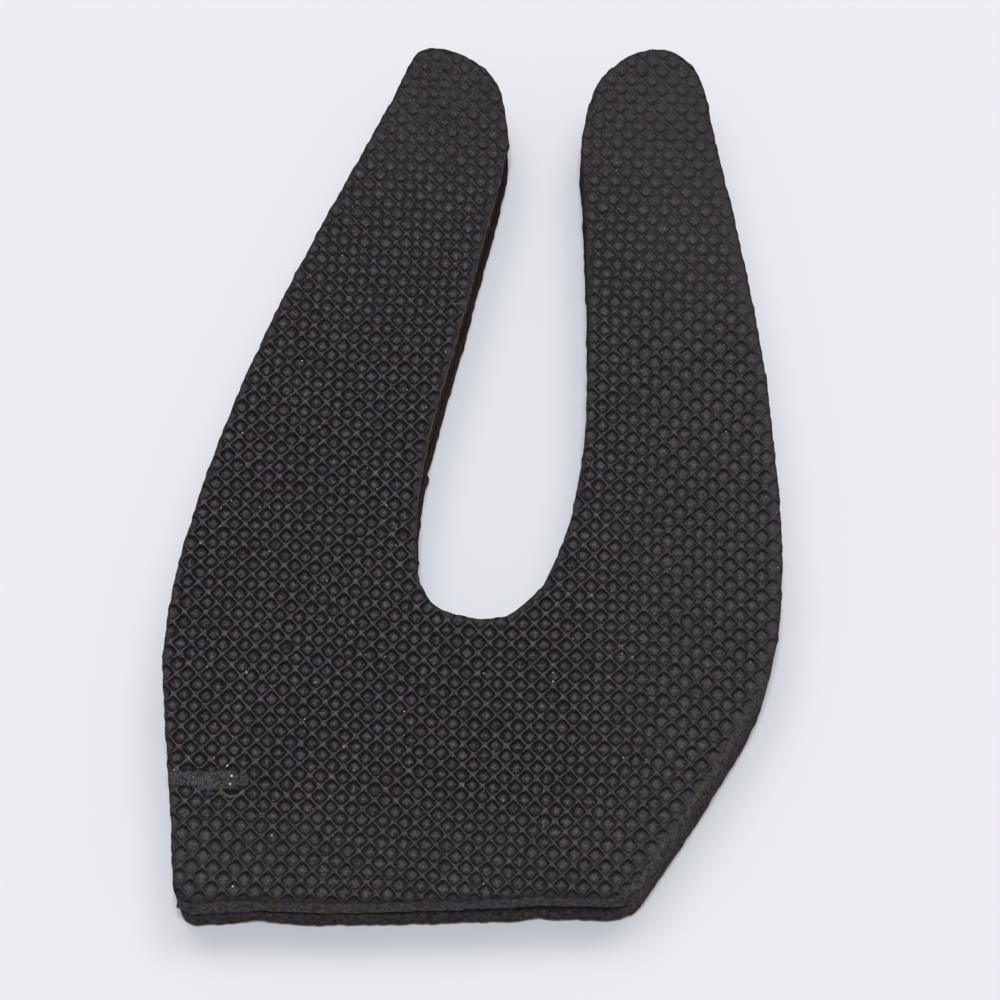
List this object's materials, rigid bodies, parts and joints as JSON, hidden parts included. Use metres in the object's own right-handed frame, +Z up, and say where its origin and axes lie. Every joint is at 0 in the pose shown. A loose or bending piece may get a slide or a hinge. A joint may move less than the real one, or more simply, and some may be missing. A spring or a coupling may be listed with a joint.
{
  "type": "metatarsal bar",
  "caption": "Flat two-legged forefoot pad of waffle-faced cellular rubber, two plies glued back to back, with a slot between its legs for a sore metatarsal head.",
  "frame": {"origin": "centre of the bounding box on the surface that the pad lies on", "axes": "+Y from the heel end to the leg tips, +X towards the broad leg, +Z up out of the upper waffle face"},
  "size_m": [0.082, 0.1228, 0.0124],
  "materials": {
    "rubber": "black cellular rubber, waffle embossed, matt",
    "glue": "dried contact glue, dark brown, dull"
  },
  "bodies": {
    "root": {"lower_ply": "rubber", "glue_film": "glue", "upper_ply": "rubber"}
  },
  "joints": []
}
